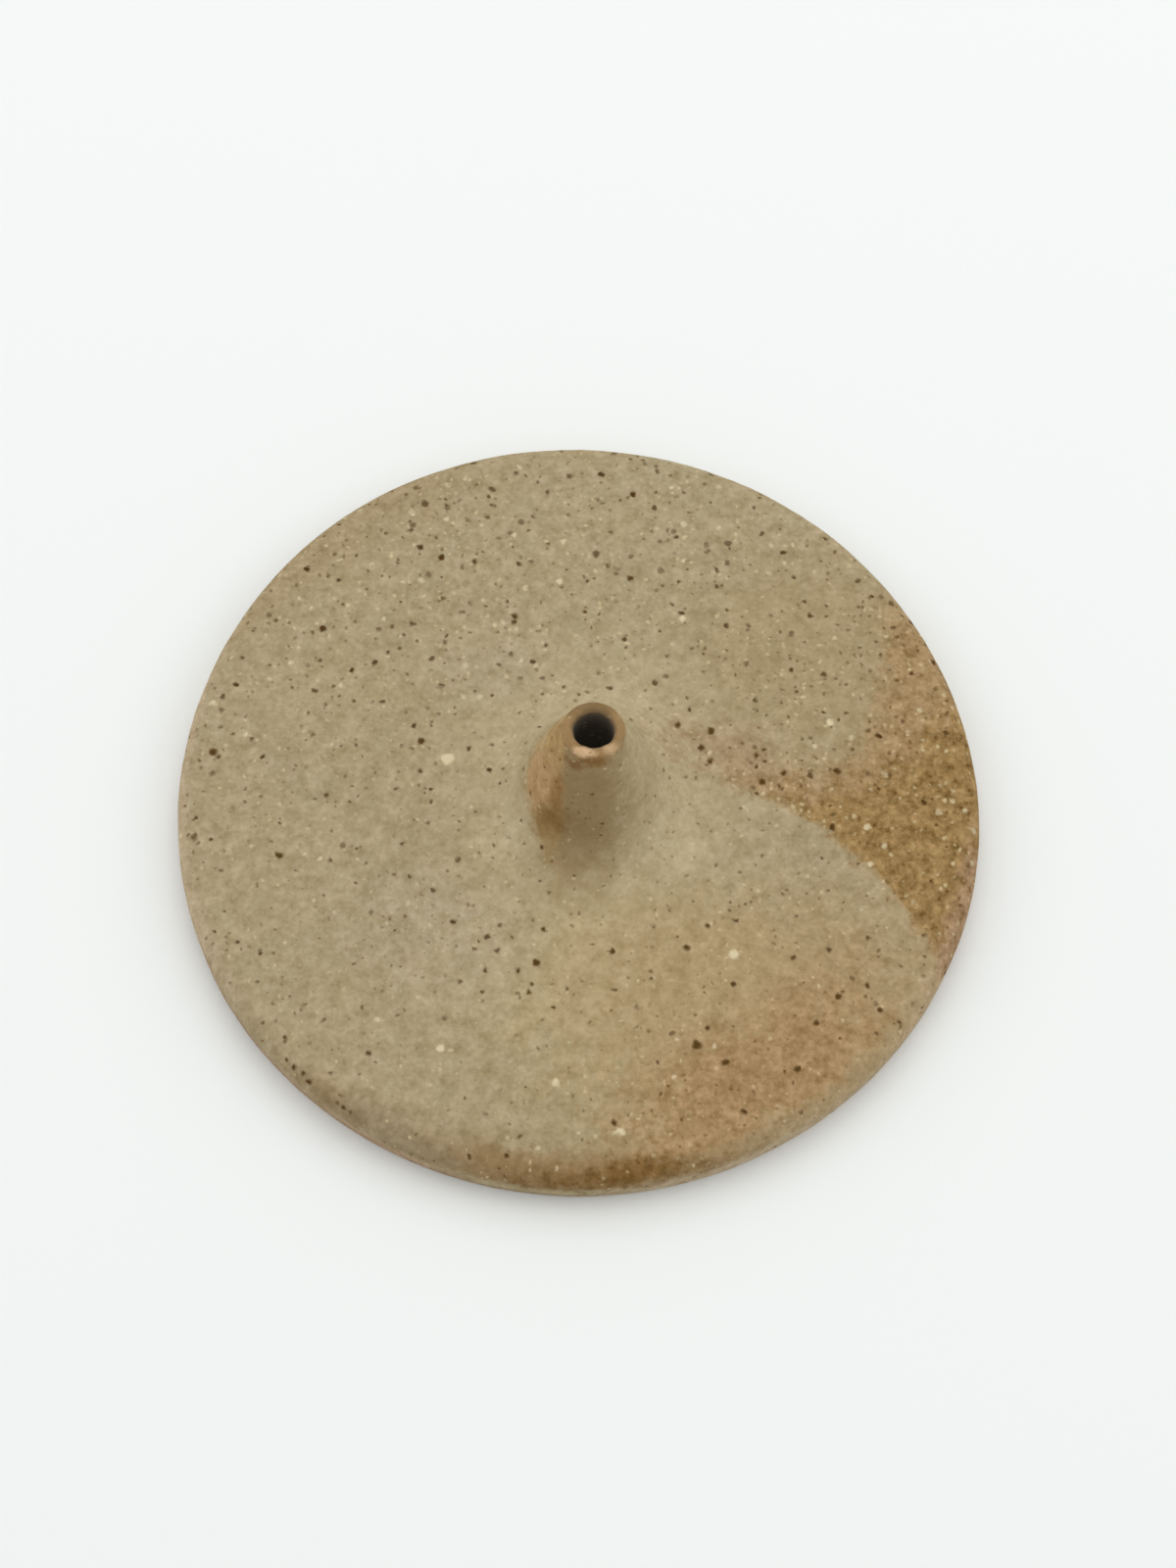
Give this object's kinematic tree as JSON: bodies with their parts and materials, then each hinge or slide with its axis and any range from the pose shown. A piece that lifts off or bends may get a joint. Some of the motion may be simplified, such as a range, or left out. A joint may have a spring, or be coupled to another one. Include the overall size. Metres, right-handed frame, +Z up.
{
  "type": "incense stick holder",
  "caption": "Low round plate of unglazed speckled stoneware with a short tapered stem at its middle, bored down its axis to hold an incense stick upright over the plate.",
  "frame": {"origin": "middle of the plate's underside, on the surface that the holder stands on", "axes": "+Z up, out of the stick hole; +X to the right and -Y towards the viewer in the picture; the stem stands 1.1 mm to +X of the plate's middle"},
  "size_m": [0.09, 0.09, 0.021],
  "materials": {
    "stoneware": "bare fired stoneware, grey-tan with iron specks, pale grit and amber flashes from the kiln, matt"
  },
  "bodies": {
    "root": {"plate": "stoneware", "stem": "stoneware"}
  },
  "joints": []
}
